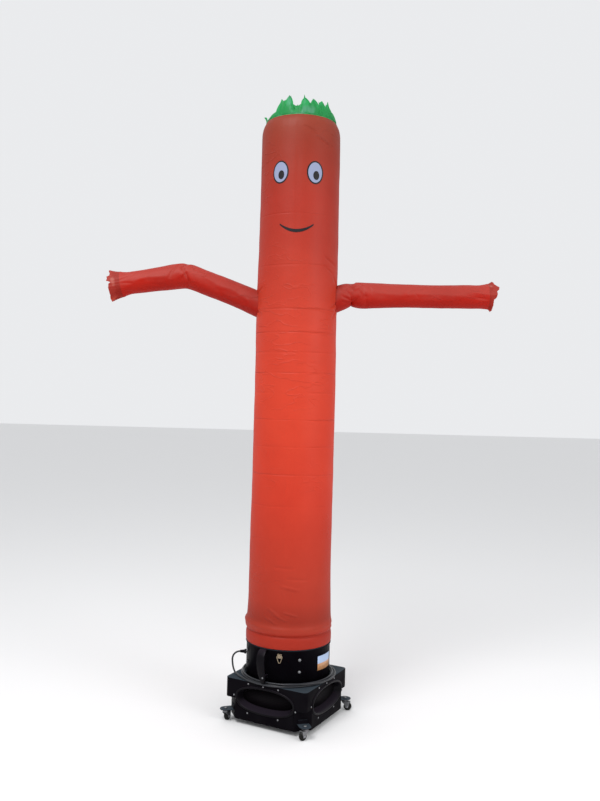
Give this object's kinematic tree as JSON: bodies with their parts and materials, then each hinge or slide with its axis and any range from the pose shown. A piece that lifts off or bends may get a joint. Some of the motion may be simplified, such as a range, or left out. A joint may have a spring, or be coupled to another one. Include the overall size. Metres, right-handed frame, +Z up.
{
  "type": "inflatable air dancer on its blower",
  "caption": "Tall cloth tube figure with two arms, open cuffs and strip hair, held on the round collar of a square box blower that stands on swivel casters.",
  "frame": {"origin": "centre of the blower's base plate, on its underside and on the collar's axis", "axes": "+Z up along the figure, +X towards the figure's left arm (right in the picture), -Y the way it faces"},
  "size_m": [1.891, 0.6307, 2.9283],
  "materials": {
    "red_nylon": "thin coated ripstop nylon, lit through",
    "green_nylon": "thin coated nylon, see-through",
    "black_enamel": "satin black enamel",
    "black_plastic": "moulded, satin",
    "dark_mesh": "fine woven wire, black",
    "plated_steel": "bright zinc",
    "black_rubber": "smooth cable sheath",
    "wheel_rubber": "dusty tread",
    "label_film": "blank printed film, two plain tones"
  },
  "bodies": {
    "blower": {"tube_foot": "red_nylon", "tube_waist": "red_nylon", "tube_head": "red_nylon", "arm_left": "red_nylon", "arm_right": "red_nylon", "cuff_frill_left": "red_nylon", "cuff_frill_right": "red_nylon", "hair_fringe": "green_nylon", "housing": "black_enamel", "collar": "black_enamel", "handle": "black_plastic", "cord_gland": "black_plastic", "lashing_plate": "plated_steel", "lashing_ring": "plated_steel", "label_plate": "label_film", "cord_loop": "black_rubber", "cord_coil": "black_rubber", "cord_tail": "black_rubber", "plug": "black_rubber", "inlet_ring_0": "black_plastic", "inlet_guard_0": "dark_mesh", "inlet_ring_1": "black_plastic", "inlet_guard_1": "dark_mesh", "inlet_ring_2": "black_plastic", "inlet_guard_2": "dark_mesh", "inlet_ring_3": "black_plastic", "inlet_guard_3": "dark_mesh", "collar_bolt_016_low": "plated_steel", "collar_bolt_016_high": "plated_steel", "collar_bolt_106_low": "plated_steel", "collar_bolt_106_high": "plated_steel", "collar_bolt_196_low": "plated_steel", "collar_bolt_196_high": "plated_steel", "collar_bolt_286_low": "plated_steel", "collar_bolt_286_high": "plated_steel", "caster_bracket_front": "black_enamel", "caster_bracket_right": "black_enamel", "caster_bracket_back": "black_enamel", "caster_bracket_left": "black_enamel"},
    "fork_front": {"caster_fork_front": "plated_steel", "caster_axle_front": "plated_steel"},
    "wheel_front": {"caster_wheel_front": "wheel_rubber"},
    "fork_right": {"caster_fork_right": "plated_steel", "caster_axle_right": "plated_steel"},
    "wheel_right": {"caster_wheel_right": "wheel_rubber"},
    "fork_back": {"caster_fork_back": "plated_steel", "caster_axle_back": "plated_steel"},
    "wheel_back": {"caster_wheel_back": "wheel_rubber"},
    "fork_left": {"caster_fork_left": "plated_steel", "caster_axle_left": "plated_steel"},
    "wheel_left": {"caster_wheel_left": "wheel_rubber"}
  },
  "joints": [
    {"name": "swivel_front", "type": "hinge", "parent": "blower", "child": "fork_front", "pos_m": [0.08713, -0.28498, 0], "axis": [0, 0, 1], "continuous": true},
    {"name": "roll_front", "type": "hinge", "parent": "fork_front", "child": "wheel_front", "pos_m": [0.07723, -0.29488, -0.004], "axis": [0.7071, -0.7071, 0], "continuous": true},
    {"name": "swivel_right", "type": "hinge", "parent": "blower", "child": "fork_right", "pos_m": [0.28498, 0.08713, 0], "axis": [0, 0, 1], "continuous": true},
    {"name": "roll_right", "type": "hinge", "parent": "fork_right", "child": "wheel_right", "pos_m": [0.29813, 0.08234, -0.004], "axis": [0.342, 0.9397, 0], "continuous": true},
    {"name": "swivel_back", "type": "hinge", "parent": "blower", "child": "fork_back", "pos_m": [-0.08713, 0.28498, 0], "axis": [0, 0, 1], "continuous": true},
    {"name": "roll_back", "type": "hinge", "parent": "fork_back", "child": "wheel_back", "pos_m": [-0.09191, 0.29813, -0.004], "axis": [-0.9397, -0.342, 0], "continuous": true},
    {"name": "swivel_left", "type": "hinge", "parent": "blower", "child": "fork_left", "pos_m": [-0.28498, -0.08713, 0], "axis": [0, 0, 1], "continuous": true},
    {"name": "roll_left", "type": "hinge", "parent": "fork_left", "child": "wheel_left", "pos_m": [-0.27798, -0.075, -0.004], "axis": [-0.866, 0.5, 0], "continuous": true}
  ]
}
